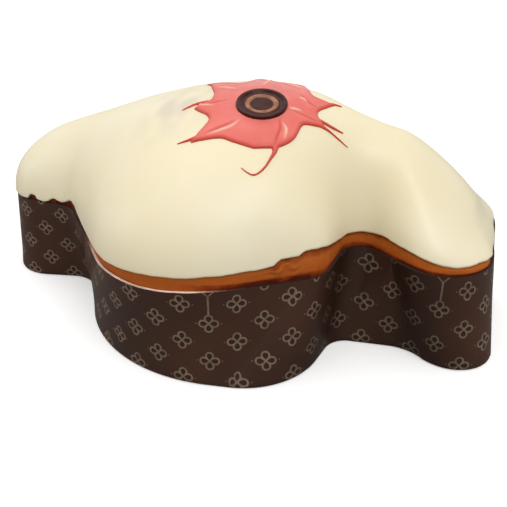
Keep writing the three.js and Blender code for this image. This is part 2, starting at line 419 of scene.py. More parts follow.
def apply_modifier(piece, kind, **settings):
    made = piece.modifiers.new(kind.lower(), kind)
    for name, value in settings.items():
        setattr(made, name, value)
    bpy.ops.object.modifier_apply(modifier=made.name)


print("vertices within", MERGED_WITHIN, "mm are merged")

# %% Grid laid along rings
def vertices_of(piece):
    flat = np.zeros(len(piece.data.vertices) * 3)
    piece.data.vertices.foreach_get("co", flat)
    return flat.reshape(-1, 3)


def note(piece, name, values):
    """Gives every vertex a value, which a material reads by its name."""
    layer = piece.data.attributes.new(name, "FLOAT", "POINT")
    layer.data.foreach_set("value", values)


def lay_grid(name, rings, notes=None):
    """A closed band of faces through rings (rows, stations, xyz in mm), with notes on its vertices."""
    rows, columns = len(rings) - 1, rings.shape[1]
    bpy.ops.object.select_all(action="DESELECT")
    bpy.ops.mesh.primitive_grid_add(x_subdivisions=columns, y_subdivisions=rows, size=2)
    piece = bpy.context.object
    piece.name = piece.data.name = name
    flat = vertices_of(piece)
    column = np.rint((flat[:, 0] + 1) / 2 * columns).astype(int) % columns
    row = np.rint((flat[:, 1] + 1) / 2 * rows).astype(int)
    piece.data.vertices.foreach_set("co", (rings[row, column] * MM).ravel())
    for key, value in (notes or {}).items():
        note(piece, key, value[row, column])
    return piece


def ring_normals(rings):
    """Outward normals of a surface laid in rings that go up the cake."""
    along = np.roll(rings, -1, 1) - np.roll(rings, 1, 1)
    up = np.gradient(rings, axis=0)
    normals = np.cross(along, up)
    normals[-1] = normals[-2] * (1, 0, 1)
    return normals / np.maximum(np.linalg.norm(normals, axis=2, keepdims=True), TINY)


print("grids have", STATIONS, "columns")

# %% [markdown]
# ## The icing
#
# White chocolate icing is poured over the dome and runs down until it sets. Its edge stops a few
# millimetres above the rim, higher towards the tail. On the head and at the tail's end it ran down to
# the paper, scalloped and torn on the head, where it stands out a little past it. It is one shell
# 2.4 mm thick: rings climb the outside from the edge to the ridge line, and the inside comes back down
# under them. A Solidify modifier would be quicker but can't round the lower lip, which is what catches
# the light.

# %% Where the icing's edge lies
# distance from the head's end along the strip, and height of the icing's edge above the rim
EDGE_STOPS = [
    (0, 1.0), (39, 0.2), (48, 0.4), (50, 3.4), (54, 3.2), (55.5, 0.7), (60, 0.1), (63, 1.0), (65.5, 2.8),
    (67.5, 3.4), (69.5, 2.4), (72.5, 1.5), (77, 2.6), (84, 5.0), (90, 5.8), (97, 6.2), (103, 4.8),
    (114, 3.6), (126, 2.9), (150, 2.8), (162, 3.3), (174, 4.2), (186, 5.1), (207, 6.6), (229, 8.2),
    (241, 8.8), (245.5, 9.4), (247.2, 12.4), (254, 12.8), (255.8, 15.0), (262, 15.2), (274, 14.4),
    (296, 11.6), (310, 8.3), (325, 8.6), (340, 9.4), (362, 8.4), (377, 5.9), (386, 4.5), (399, 4.9),
    (408, 3.7), (420, 1.6), (430, 0.4), (444, 0.2),
]
EDGE_WANDER = [(9, 0.3, 6.0), (4, 0.2, 9.0)]  # size across, height, seed
ICING_LIP = 1.1  # radius of the icing's rounded lower edge
HEAD_OVERHANG, TAIL_OVERHANG = 0.7, -0.9  # past the rim on the head, short of it at the tail's corners
HEAD_ENDS = (64, 84)  # the overhang of the head fades out between these distances from its end
CORNER_STARTS, CORNER_ENDS = (408, 424), (426, 440)  # and the tail's corner lies between these
HALVINGS = 16
DEEPEST_EDGE = 0.45  # no edge lies further than this part of the way to the ridge line

rim3 = np.column_stack([RIM, np.full(STATIONS, CASE_HEIGHT)])
wander = sum(height * lumps(rim3, size, seed) for size, height, seed in EDGE_WANDER)
edge_rise = np.maximum(np.interp(FROM_HEAD, *np.transpose(EDGE_STOPS)) + wander, 0) + ICING_LIP
overhang = HEAD_OVERHANG * (1 - smoothstep(FROM_HEAD, *HEAD_ENDS))
at_corner = smoothstep(FROM_HEAD, *CORNER_STARTS) * (1 - smoothstep(FROM_HEAD, *CORNER_ENDS))
overhang = overhang + TAIL_OVERHANG * at_corner


def reach(rise):
    """How far from the rim (0) to the ridge line (1) each station's dome has climbed by rise mm."""
    low, high = np.zeros(STATIONS), np.full(STATIONS, DEEPEST_EDGE)
    for _ in range(HALVINGS):
        middle = (low + high) / 2
        short = top_height(RIM + (RIDGE - RIM) * middle[:, None]) < CASE_HEIGHT + rise
        low, high = np.where(short, middle, low), np.where(short, high, middle)
    return high


EDGE = reach(edge_rise)


def dome_rings(parts):
    """Rings of points on the dome. parts (rows, stations) says how far from rim to ridge each lies."""
    flat = RIM + (RIDGE - RIM) * parts[..., None]
    return np.concatenate([flat, top_height(flat)[..., None]], axis=2)


print("the icing's edge is", round(float(edge_rise.max()), 1), "mm above the rim at most")

# %% Icing
ICING_THICK = 2.4
LIP_STEPS = 6
OUTER_RINGS, CROWDED = 70, 1.5  # rings on the outside, and by what power they crowd at its edge
INNER_EVERY = 6  # the inside has one ring under every sixth of the outside
OVER_PAPER = 0.6  # the inside stays this far above the rim
HANG_FADES = 8.0  # the overhang fades out about this far up
# beside the splash the icing was wiped thin: where, how far along x and y, and in what lumps
WIPED_AT, WIPED_REACH, WIPED_LUMPS, WIPED_SEED = (-26.0, -24.0), (17, 24), 9, 3.3
ALONG_STROKES = (1.0, 0.6, 1.0)  # the lumps are longer along y, as the wiping went


def hung(rings, reach_out):
    """Rings moved out over the rim, or in from it. The move fades out further up the dome."""
    hang = np.exp((CASE_HEIGHT - rings[..., 2:]) / HANG_FADES)
    return np.concatenate([rings[..., :2] + OUTWARD * reach_out[:, None] * hang, rings[..., 2:]], axis=2)


climb = (np.arange(OUTER_RINGS + 1) / OUTER_RINGS) ** CROWDED
outer = dome_rings(EDGE + (1 - EDGE) * climb[:, None])
normals = ring_normals(outer)
outer = hung(outer, overhang)
below = outer[0] - outer[1]
below /= np.linalg.norm(below, axis=1, keepdims=True)
lip = []
for angle in np.linspace(math.pi / 2, 0, LIP_STEPS, endpoint=False):
    inwards = normals[0] * ICING_LIP * (1 - math.cos(angle))
    lip.append(outer[0] + below * ICING_LIP * math.sin(angle) - inwards)
under = (outer - normals * ICING_THICK)[1::INNER_EVERY]
under[..., 2] = np.maximum(under[..., 2], CASE_HEIGHT + OVER_PAPER)
icing_rings = np.concatenate([under[::-1], lip, outer])
from_wiped = (icing_rings[..., :2] - WIPED_AT) / WIPED_REACH
wiped = np.exp(-(np.hypot(from_wiped[..., 0], from_wiped[..., 1]) ** 2))
streaks = lumps(icing_rings * ALONG_STROKES, WIPED_LUMPS, WIPED_SEED)
wiped = wiped * np.clip(0.5 + 1.6 * streaks, 0, 1)
icing = lay_grid("icing_shell", icing_rings, {"wiped": wiped})
close_seams(icing)
print("icing:", len(icing.data.polygons), "faces")

# %% [markdown]
# ## The cake and its browned crust
#
# Only a strip of crust shows, between the icing and the paper, but the whole cake is there, solid and
# uncut. Its strip follows the dome a little inside the icing's surface, so it bulges over the rim like
# baked dough. It is finely wrinkled, and in one place, under the wing's shoulder, it tore as it rose.

# %% Crust
CRUST_DEPTH = 1.5  # the crust lies this far under the icing's surface
CRUST_RINGS = 16
LOWEST_EDGE = 0.012  # the crust climbs at least this part of the way to the ridge line
PAST_THE_EDGE = 1.25  # the modelled crust goes this much further up than the icing's edge
OFF_THE_RIM = 5e-4  # the dome's formula has no value on the rim itself, so the first ring keeps off it
COVERED = (0.7, 0.92)  # the wrinkles fade out as the crust goes under the icing
WRINKLES_START = 0.25  # and set in on this part of the way up from the rim
WRINKLES = [(7, 0.35, 2.0), (2.6, 0.22, 5.0)]  # size across, height, seed
# on the near side: distance from the head's end, width, how far it stands out
TEARS = [(246.5, 2.0, 2.6), (249.6, 1.2, -1.6), (252.5, 1.4, 1.5)]
TEAR_LUMPS, TEAR_SEED = 1.8, 7.0

rise_part = (np.arange(CRUST_RINGS + 1) / CRUST_RINGS)[:, None]
crust_top = np.maximum(EDGE, LOWEST_EDGE) * PAST_THE_EDGE
crust = dome_rings(OFF_THE_RIM + (crust_top - OFF_THE_RIM) * rise_part**2)
crust[0, :, 2] = CASE_HEIGHT
crust_normals = ring_normals(crust)
crust_normals[-1] = crust_normals[-2]
fold = sum(height * lumps(crust, size, seed) for size, height, seed in WRINKLES)
near_side = ARC < STRIP / 2
for place, width, stands in TEARS:
    ridge_here = stands * np.exp(-(((ARC - place) / width) ** 2)) * near_side
    fold = fold + ridge_here * (0.8 + 1.2 * lumps(crust, TEAR_LUMPS, TEAR_SEED))
covered = smoothstep(rise_part**2 * PAST_THE_EDGE, *COVERED)
fold = fold * smoothstep(rise_part, 0, WRINKLES_START) * (1 - covered)
crust = hung(crust + crust_normals * (fold - CRUST_DEPTH)[..., None], np.minimum(overhang, 0))
print("the wrinkles and the tear reach", round(float(fold.max()), 1), "mm out")

# %% Cake
PAPER, GAP = 1.4, 0.3  # the paper's thickness, and the gap between it and the cake
HIDDEN_RINGS, HIDDEN_FROM, HIDDEN_CROWDED = 12, 0.04, 1.3
ICING_OVERLAP = 0.6  # the cake reaches this far into the icing, where neither is seen
HEAD_SHADE_PAINTED, HEAD_SHADE_FROM, HEAD_SHADE_TO = 0.12, 100, 172  # painted shade: round the head the crust is painted darker
RIM_SAG = 3.1  # the paper's rim sags by this on the wing's head side, and shows more of the crust
SAG_STARTS, SAG_ENDS = (105, 142), (170, 235)
SAG_BROWN = 0.4  # how much lighter the crust is where the sagging rim bared it
SIDE_HEIGHTS = (18, 36, 50)  # of the rings up the cake's side

sag = RIM_SAG * smoothstep(FROM_HEAD, *SAG_STARTS) * (1 - smoothstep(FROM_HEAD, *SAG_ENDS))
under_icing = np.linspace(HIDDEN_FROM, 1, HIDDEN_RINGS)[:, None] ** HIDDEN_CROWDED
hidden = dome_rings(EDGE * PAST_THE_EDGE + (1 - EDGE * PAST_THE_EDGE) * under_icing)
hidden_normals = ring_normals(hidden)
hidden = hung(hidden - hidden_normals * (ICING_THICK - ICING_OVERLAP), np.minimum(overhang, 0))
cake_inset = PAPER + GAP  # the base of the cake lies as far above the floor
base_ridge = np.column_stack([RIDGE, np.full(STATIONS, cake_inset)])
walls = [base_ridge, *(wall_ring(height, cake_inset) for height in (cake_inset, *SIDE_HEIGHTS))]
cake_rings = np.concatenate([walls, crust, hidden])
climbed = rise_part[:, 0] * PAST_THE_EDGE
above_rim = np.concatenate([np.zeros(len(walls)), climbed, np.full(HIDDEN_RINGS, PAST_THE_EDGE)])
# painted shade round the head: the browning there is scaled down
out_of_head_shade = HEAD_SHADE_PAINTED + (1 - HEAD_SHADE_PAINTED) * smoothstep(FROM_HEAD, HEAD_SHADE_FROM, HEAD_SHADE_TO)
on_dome = np.arange(len(cake_rings)) >= len(walls)
baked_and_shaded = np.maximum(above_rim[:, None], SAG_BROWN * np.outer(on_dome, sag / RIM_SAG)) * out_of_head_shade
cake = lay_grid("cake_crust", cake_rings, {"baked_and_shaded": baked_and_shaded})
close_seams(cake)
print("cake:", len(cake.data.polygons), "faces")

# %% [markdown]
# ## The paper case
#
# The case is a strip of fluted baking paper, glued end to end and folded under to a flat base. It is
# made the same way: a grid for the strip, an n-gon for the base, and Solidify for the thickness of the
# paper, which also gives the rim its cut edge as a material of its own. Real paper never stands quite
# straight, so the strip waves a little, and it steps out where its ends overlap.

# %% Paper case
FOLD = [(0.0, 1.3), (0.35, 0.4), (1.3, 0.0)]  # height and inset of the rounded fold at the foot
WALL_ROWS, LOWEST_ROW = 26, 3
SEAM_AT, SEAM_LAP = 357.5, 11.0  # where the strip's ends overlap, and by how much
SEAM_STEP, SEAM_SOFT, SEAM_FADES = 0.25, 0.6, 2  # the step, half its width, and where it starts to fade
TAIL_FLARE, FLARE_ABOVE = 0.6, 18  # at the tail's corners the top of the wall is bent out a little
WAVES = [(34, 0.28, 1.0), (12, 0.1, 4.0)]  # size across, depth, seed
WAVES_GROW, PULLED_IN = 12, 0.25  # they grow to this height, and the wall stands in by so much
ALONG_CREASES = (1, 1, 0.25)  # creases run from foot to rim, so the waves change slowly with height
RIM_WANDER, RIM_LUMPS, RIM_SEED, RIM_LOWERED = 0.22, 9, 6.6, 0.1

# painted shade: the paper is painted darkest in the two creases of the tail's notch, where shade falls:
# distance from the head's end, how dark
NOTCH_SHADE = 0.5
SHADE_STOPS = [(272, 0), (296, 1), (316, 1), (329, 0.45), (343, 0.45), (353, 0.95), (368, 0.85), (394, 0)]

rows = FOLD + [(height, 0.0) for height in np.linspace(LOWEST_ROW, CASE_HEIGHT, WALL_ROWS)]
heights = np.array([height for height, _ in rows])
case_rings = np.array([wall_ring(height, inset) for height, inset in rows])
wave = sum(depth * lumps(case_rings * ALONG_CREASES, size, seed) for size, depth, seed in WAVES)
lap = SEAM_STEP * smoothstep(ARC, SEAM_AT - SEAM_SOFT, SEAM_AT + SEAM_SOFT)
lap = lap * (1 - smoothstep(ARC, SEAM_AT + SEAM_FADES, SEAM_AT + SEAM_LAP))
flare = TAIL_FLARE * at_corner * smoothstep(heights, FLARE_ABOVE, CASE_HEIGHT)[:, None]
bowed = (wave - PULLED_IN) * smoothstep(heights, 0, WAVES_GROW)[:, None] + lap + flare
case_rings[..., :2] += OUTWARD * bowed[..., None]
case_rings[..., 2] *= 1 - sag / CASE_HEIGHT
case_rings[-1, :, 2] += RIM_WANDER * lumps(rim3, RIM_LUMPS, RIM_SEED) - RIM_LOWERED
shaded = NOTCH_SHADE * np.interp(FROM_HEAD, *np.transpose(SHADE_STOPS))
shaded = np.repeat(shaded[None], len(case_rings), 0)
paper_case = lay_grid("printed_paper_case", case_rings, {"shaded": shaded})

# %% Unroll the strip into its UV map
# Where each place on the wall lies on the flat strip, in mm. Paper leans with the wall, so a place that
# leans sideways from its station has moved along the strip too. In the notches, where the rings'
# lengths differ most, each ring shares the print out evenly.
LATTICE = (28.35, 21.8)  # from one printed clover to the next along the strip, and up it
PRINT_ROUND = 31 * LATTICE[0]  # whole clovers, so that the print closes at the head's end
PRINT_SLIP, NOTCH_FROM, NOTCH_TO = 4.4, 288, 338
middle_ring = wall_ring(CASE_HEIGHT / 2)
forward = np.roll(middle_ring, -1, 0) - np.roll(middle_ring, 1, 0)
forward /= np.linalg.norm(forward, axis=1, keepdims=True)
lean = ((case_rings - middle_ring) * forward).sum(2)

strip_place = ARC[:SIDE] + lean[:, :SIDE] - PRINT_SLIP * smoothstep(ARC[:SIDE], NOTCH_FROM, NOTCH_TO)
first, last = (int(np.searchsorted(ARC, place)) for place in (NOTCH_FROM, NOTCH_TO))
for place, ring in zip(strip_place, case_rings):
    walked = length_along(ring[first : last + 1, :2])
    place[first : last + 1] = place[first] + (place[last] - place[first]) * walked / walked[-1]
far_place = PRINT_ROUND - strip_place[:, ::-1] * (PRINT_ROUND / strip_place[:, -1:] - 1)
strip_place = np.concatenate([strip_place, far_place[:, 1:]], axis=1)

mesh = paper_case.data
uv = np.zeros(len(mesh.loops) * 2)
mesh.uv_layers.active.uv.foreach_get("vector", uv)
uv = uv.reshape(-1, 2)
column = np.rint(uv[:, 0] * STATIONS).astype(int)
row = np.rint(uv[:, 1] * (len(case_rings) - 1)).astype(int)
up_strip = case_rings[row, column % STATIONS, 2] / CASE_HEIGHT
on_strip = np.column_stack([strip_place[row, column] / STRIP, up_strip])
mesh.uv_layers.active.uv.foreach_set("vector", on_strip.ravel())
print("the print goes round in", round(PRINT_ROUND, 1), "mm")

# %% Base and thickness
PRINTED, PLAIN, CUT_EDGE = 0, 1, 2
BASE_BELOW, FLAT_FROM, RIM_FROM = 0.1, 0.7, 0.9  # the base's height, a flat face's normal, the rim's part
CASE_CREASE = 50  # degrees: the paper is smooth but at its fold and its cut edge

close_seams(paper_case)
low = vertices_of(paper_case)[:, 2] < BASE_BELOW * MM
choose(paper_case, "EDGE", lambda edge: low[list(edge.vertices)].all())
bpy.ops.mesh.edge_face_add()
bpy.ops.mesh.select_all(action="SELECT")
bpy.ops.mesh.normals_make_consistent(inside=False)
bpy.ops.object.mode_set(mode="OBJECT")
for face in paper_case.data.polygons:
    face.material_index = PLAIN if abs(face.normal.z) > FLAT_FROM else PRINTED
for _ in range(3):
    paper_case.data.materials.append(None)
edge_slots = {"material_offset": PLAIN, "material_offset_rim": CUT_EDGE}
apply_modifier(paper_case, "SOLIDIFY", thickness=PAPER * MM, offset=-1, **edge_slots)
for face in paper_case.data.polygons:
    if face.material_index == CUT_EDGE and face.center.z < RIM_FROM * CASE_HEIGHT * MM:
        face.material_index = PLAIN
bpy.ops.object.shade_smooth_by_angle(angle=math.radians(CASE_CREASE))
print("paper case:", len(paper_case.data.polygons), "faces")

# %% [markdown]
# ## The chocolate disc
#
# The disc is moulded dark chocolate, like a large coat button: a rounded raised rim and one plain
# raised ring. It is modelled lying flat at the origin, as by hand: a cylinder whose top is inset and
# pushed down or up, step by step, then bevelled. The solid model's disc says where it goes and how it
# is tilted.

# %% Chocolate disc
DISC_RADIUS = 13.6
DISC_THICK = 2.7
DISC_SIDES = 96
# the top's rings from the edge inwards: how far in, and how far up or down
DISC_STEPS = [(1.7, 0.0), (0.8, -0.9), (2.0, -0.1), (0.6, 0.55), (1.3, 0.0), (0.6, -0.6), (3.4, 0.12)]
RING_FROM, RING_TO = 6.3, 8.8  # the raised ring, from the disc's middle
MOULD_ROUNDING, ROUND_STEPS, ROUND_FROM, DISC_CREASE = 0.42, 4, 25, 40  # mm, steps, degrees, degrees

solid_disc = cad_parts["chocolate_disc"]
corners = np.array([vertex.co for vertex in solid_disc.data.vertices])
disc_centre = (corners.max(0) + corners.min(0)) / 2
disc_axis = np.linalg.svd(corners - corners.mean(0), full_matrices=False)[2][2]
disc_axis *= np.sign(disc_axis[2])

bpy.ops.object.select_all(action="DESELECT")
bpy.ops.mesh.primitive_cylinder_add(vertices=DISC_SIDES, radius=DISC_RADIUS * MM, depth=DISC_THICK * MM)
disc = bpy.context.object
disc.name = disc.data.name = "moulded_disc"
choose(disc, "FACE", lambda face: face.normal.z > FLAT_FROM)
for inwards, upwards in DISC_STEPS:
    bpy.ops.mesh.inset(thickness=inwards * MM)
    bpy.ops.transform.translate(value=(0, 0, upwards * MM))
bpy.ops.mesh.poke()
bpy.ops.object.mode_set(mode="OBJECT")
angles = {"limit_method": "ANGLE", "angle_limit": math.radians(ROUND_FROM)}
apply_modifier(disc, "BEVEL", width=MOULD_ROUNDING * MM, segments=ROUND_STEPS, **angles)
bpy.ops.object.shade_smooth_by_angle(angle=math.radians(DISC_CREASE))
x, y, z = vertices_of(disc).T / MM
on_ring = (np.hypot(x, y) > RING_FROM) & (np.hypot(x, y) < RING_TO) & (z > 0)
note(disc, "dusted", on_ring.astype(float))
turn = Vector((0, 0, 1)).rotation_difference(Vector(disc_axis)).to_matrix().to_4x4()
disc.data.transform(Matrix.Translation(Vector(disc_centre)) @ turn)
print("disc at", np.round(disc_centre / MM, 1), "mm")

# %% [markdown]
# ## The coral glaze
#
# A spoonful of fruit glaze was thrown on the icing before the disc was pressed in, so it ran out in
# pointed tongues with hollows between them, and pulled threads from some tips. Its outline is a circle
# with cusps added, one for each tongue, and the threads are tapered strokes. From a fine grid on the
# dome only what lies inside the outline is kept, the border is slid onto it, and the thickness swells
# from the border like a drop held by its own surface.

# %% Shapes in the splash
SPLASH_X, SPLASH_Y = 21.0, -25.5
GLAZE_THICK = 1.15
# tongues: direction in degrees, reach, half width in degrees at the root, sharpness of the cusp
TONGUES = [
    (143, 51, 24, 2.0), (191, 36, 15, 1.1), (232, 43, 20, 2.0), (281, 30.2, 20, 1.2),
    (4, 36, 14, 2.0), (33, 42, 15, 1.7), (75, 47, 26, 2.0), (107, 52, 20, 2.0),
]
# the outline between the tongues: direction in degrees, distance from the splash's middle
SPLASH_ROOTS = [
    (0, 26), (18, 31), (45, 32.5), (58, 35.5), (90, 33), (165, 31), (177, 28.5), (207, 28.8),
    (221, 26.7), (231, 29), (253, 29.9), (290, 28.4), (303, 29.4), (314, 28.2), (326, 27.4),
    (336, 26), (348, 24.3), (360, 26),
]
# threads: points from root to tip relative to the splash's middle, and the radius at each
THREADS = {
    "tail hook": [(15.4, -23, 2.1), (16.1, -26.5, 1.1), (15.4, -30.5, 0.66), (14.3, -35.3, 0.5),
                  (12.2, -39.8, 0.42), (9.9, -41.9, 0.38), (6.7, -42, 0.32), (3.5, -41.1, 0.2)],
    "upper left": [(-30, 0.0, 1.5), (-35.5, -1.6, 0.8), (-39, -4.2, 0.5), (-42.3, -7.0, 0.25)],
    "back left": [(-36, 25, 1.1), (-40, 29, 0.6), (-43, 31.8, 0.3)],
    "lower left": [(-24, -29.5, 1.2), (-28.5, -32.4, 0.65), (-33, -34.7, 0.25)],
    "upper right": [(29.5, 4.2, 1.1), (33, 4.7, 0.9), (38.6, 5.4, 0.7), (43.9, 6.3, 0.3)],
    "lower right": [(32, 1.8, 1.2), (37, 2.3, 0.6), (42, 2.2, 0.42), (47.5, 2.4, 0.22)],
    "right tip": [(31, 20.5, 1.4), (34.5, 23.6, 0.7), (38.5, 25.6, 0.3)],
}
# ridges left where the glaze was thrown, painted paler along them as a highlight: points from end to end
RIDGES = {
    "lower left": [(-18.6, -28), (-14.2, -24.6), (-8.9, -20.4), (-6.0, -15.4)],
    "lower right": [(15.0, -9.6), (17.8, -12.4), (18.6, -17.9)],
    "right": [(15.2, 1.7), (18.2, 2.6), (21.4, 3.2)],
    "upper right": [(16.8, 14.1), (19.5, 13.9), (22, 12.8)],
    "upper left": [(-31.5, 18), (-24.6, 16.2), (-18.6, 14.6)],
    "left": [(-34.6, -4.4), (-29.6, -5.2), (-24.4, -5.1)],
    "back": [(-5.5, 21), (-5.3, 28), (-5.6, 37)],
    "back right": [(2.7, 33.7), (8.6, 32), (15, 29.2)],
}
# folds, lower than the rest and painted darker as shade, where one run of glaze lies against the next
FOLDS = [
    [(12.8, -8), (14.9, -13), (14.9, -19), (15.6, -25)],
    [(14.6, 1.4), (25.9, 1.9), (33, 2.9)],
    [(15.9, 19.6), (23.1, 13.5), (28, 12)],
    [(-21.5, -27.5), (-14.6, -21.6), (-9, -16.6)],
    [(-31, -2), (-25, -1.5), (-19, 0.5)],
]
print(len(TONGUES), "tongues,", len(THREADS), "threads,", len(RIDGES), "ridges,", len(FOLDS), "folds")

# %% Outline of the splash
OUTLINE_STEP = 0.75  # degrees from one point of the outline to the next
ROOTS_BLUR, HOLLOWS_BLUR = 4.5, 2.5
directions = np.arange(0, 360, OUTLINE_STEP)


def blurred(values, spread):
    """Values all round the splash, each averaged with its neighbours within about spread degrees."""
    steps_off = range(-round(3 * spread / OUTLINE_STEP), round(3 * spread / OUTLINE_STEP) + 1)
    weights = [math.exp(-0.5 * (step * OUTLINE_STEP / spread) ** 2) for step in steps_off]
    return sum(weight * np.roll(values, step) for step, weight in zip(steps_off, weights)) / sum(weights)


def curved(points, cuts=4):
    """A smooth curve through a stroke's points."""
    points = np.array(points, float)
    ends = np.concatenate([[2 * points[0] - points[1]], points, [2 * points[-1] - points[-2]]])
    t = np.linspace(0, 1, cuts, endpoint=False)[:, None]
    runs = []
    for a, b, c, d in zip(ends, ends[1:], ends[2:], ends[3:]):
        bend = (2 * a - 5 * b + 4 * c - d) * t**2 + (3 * b - a - 3 * c + d) * t**3
        runs.append((2 * b + (c - a) * t + bend) / 2)
    return np.concatenate([*runs, points[-1:]])


outline_radius = blurred(np.interp(directions, *np.transpose(SPLASH_ROOTS)), ROOTS_BLUR)
for direction, tongue_reach, width, sharpness in TONGUES:
    off = np.abs((directions - direction + 180) % 360 - 180)
    cusp = np.clip(1 - off / width, 0, 1) ** sharpness
    outline_radius = np.maximum(outline_radius, outline_radius + (tongue_reach - outline_radius) * cusp)
outline_radius = np.maximum(outline_radius, blurred(outline_radius, HOLLOWS_BLUR))
turned = np.radians(directions)
OUTLINE_OF_SPLASH = outline_radius[:, None] * np.column_stack([np.cos(turned), np.sin(turned)])
STROKES = [curved(stroke) for stroke in THREADS.values()]


def splash_depth(places):
    """How far inside the splash each place is, in mm; negative outside."""
    away, _ = to_stroke(places, np.concatenate([OUTLINE_OF_SPLASH, OUTLINE_OF_SPLASH[:1]]))
    own = np.degrees(np.arctan2(places[:, 1], places[:, 0])) % 360
    inside = np.hypot(*places.T) < np.interp(own, directions, outline_radius, period=360)
    depth = np.where(inside, away, -away)
    for stroke in STROKES:
        distance, where = to_stroke(places, stroke[:, :2])
        depth = np.maximum(depth, np.interp(where, np.arange(len(stroke)), stroke[:, 2]) - distance)
    return depth


print("the splash reaches", round(float(outline_radius.max())), "mm from its middle")

# %% A grid cut to the splash
SPLASH_BOX = (-46, 52, -46, 56)  # lowest and highest x, lowest and highest y, round the middle
CELL = 0.36
SLOPE_STEP = 0.1
SLIDES, LEAST_SLOPE = 2, 0.4

low_x, high_x, low_y, high_y = SPLASH_BOX
across, deep = round((high_x - low_x) / CELL), round((high_y - low_y) / CELL)
bpy.ops.object.select_all(action="DESELECT")
bpy.ops.mesh.primitive_grid_add(x_subdivisions=across, y_subdivisions=deep, size=2 * MM)
glaze = bpy.context.object
glaze.name = glaze.data.name = "glaze_splash"
half_size = Vector(((high_x - low_x) / 2, (high_y - low_y) / 2, 1))
middle = Vector(((high_x + low_x) / 2, (high_y + low_y) / 2, 0)) * MM
glaze.data.transform(Matrix.Translation(middle) @ Matrix.Diagonal(half_size).to_4x4())
outside = splash_depth(vertices_of(glaze)[:, :2] / MM) < 0
choose(glaze, "FACE", lambda face: outside[list(face.vertices)].all())
bpy.ops.mesh.delete(type="FACE")
bpy.ops.object.mode_set(mode="OBJECT")

# the vertices just outside the outline are slid onto it
places = vertices_of(glaze)[:, :2] / MM
depth = splash_depth(places)
steps = ((SLOPE_STEP, 0), (0, SLOPE_STEP))
border = np.flatnonzero(depth < 0)
for _ in range(SLIDES):
    here = places[border]
    away = splash_depth(here)
    slope = np.column_stack([(splash_depth(here + step) - away) / SLOPE_STEP for step in steps])
    places[border] = here - (away / np.maximum((slope**2).sum(1), LEAST_SLOPE))[:, None] * slope
depth = np.maximum(depth, 0)
print("glaze:", len(places), "places inside the outline")

# %% Thickness of the glaze
EDGE_WIDTH = 1.5  # the glaze reaches its full thickness this far from its border
ROLL_HEIGHT, ROLL_AT, ROLL_WIDTH = 0.22, 1.6, 0.9  # the low roll that runs along inside the border
RIDGE_HEIGHT, RIDGE_WIDTH = 0.9, 0.85
FOLD_DEPTH, FOLD_WIDTH = 0.45, 0.7


def along_strokes(strokes, width):
    """How near each place is to any of the strokes, from 0 to 1, fading towards the strokes' ends."""
    near = np.zeros(len(places))
    for stroke in strokes:
        stroke = curved(stroke)
        distance, where = to_stroke(places, stroke)
        fade = np.sin(np.clip((where + 0.2) / (len(stroke) - 0.6), 0, 1) * math.pi) ** 0.5
        near = np.maximum(near, np.exp(-((distance / width) ** 2)) * fade)
    return near


swell = np.clip(depth / EDGE_WIDTH, 0, 1)
thick = GLAZE_THICK * np.sqrt(1 - (1 - swell) ** 2)
thick = thick + ROLL_HEIGHT * np.exp(-(((depth - ROLL_AT) / ROLL_WIDTH) ** 2)) * (depth > 0)
on_ridge = along_strokes(RIDGES.values(), RIDGE_WIDTH)
in_fold = along_strokes(FOLDS, FOLD_WIDTH)
inside_part = np.clip(depth, 0, 1)
thick = thick + (RIDGE_HEIGHT * on_ridge - FOLD_DEPTH * in_fold) * inside_part

world_places = places + (SPLASH_X, SPLASH_Y)
heights_here = top_height(world_places)
surface = np.column_stack([world_places, heights_here])
# the icing's normal, from heights a little to two sides
tilt = [(top_height(world_places + step) - heights_here) / SLOPE_STEP for step in steps]
lifted = np.column_stack([-tilt[0], -tilt[1], np.ones(len(places))])
lifted /= np.linalg.norm(lifted, axis=1, keepdims=True)
print("the glaze is up to", round(float(thick.max()), 1), "mm thick away from the disc")

# %% Glaze round the disc: it rises beside the disc and never covers its face
COLLAR, COLLAR_WIDTH = 0.9, 1.8
UNDER_DISC, DISC_EDGE = 0.3, 1.5  # how far it reaches into the disc's back, and how wide its edge is
# how far in the edge's deeper red reaches, and how dark the painted shade in the folds is
EDGE_TINT, FOLD_PAINTED_SHADE = 1.35, 0.75
disc_local = surface - disc_centre / MM
room_under = -(disc_local @ disc_axis) - DISC_THICK / 2
from_axis = np.linalg.norm(disc_local - (disc_local @ disc_axis)[:, None] * disc_axis, axis=1)
collar = COLLAR * np.exp(-np.clip(from_axis - DISC_RADIUS, 0, None) / COLLAR_WIDTH) * (depth > 0)
thick = thick + collar
thick = np.where(from_axis < DISC_RADIUS, np.minimum(thick, room_under + COLLAR), thick)
covered = from_axis < DISC_RADIUS - DISC_EDGE
thick = np.where(covered, np.minimum(thick, room_under + UNDER_DISC), thick)

surface = surface + lifted * thick[:, None]
glaze.data.vertices.foreach_set("co", (surface * MM).ravel())
# the rounded edge deeper red, and painted shade in the folds
note(glaze, "edge", np.maximum(np.exp(-depth / EDGE_TINT), FOLD_PAINTED_SHADE * in_fold))
# a painted highlight along the ridges
note(glaze, "ridge", on_ridge**1.5)
print("glaze: up to", round(float(thick.max()), 1), "mm thick")

# %% Give the glaze a body
GLAZE_BODY = 0.9

edit(glaze, "SELECT", "FACE")
bpy.ops.mesh.normals_make_consistent(inside=False)
bpy.ops.object.mode_set(mode="OBJECT")
apply_modifier(glaze, "SOLIDIFY", thickness=GLAZE_BODY * MM, offset=-1)
bpy.ops.object.shade_smooth()
print("glaze:", len(glaze.data.polygons), "faces")

# %% [markdown]
# ## White chocolate icing, the material
#
# White chocolate is cocoa butter, milk and sugar. It sets to a soft satin, lets a little light in, and
# is warm cream where it is thick and greyer where it was wiped thin.

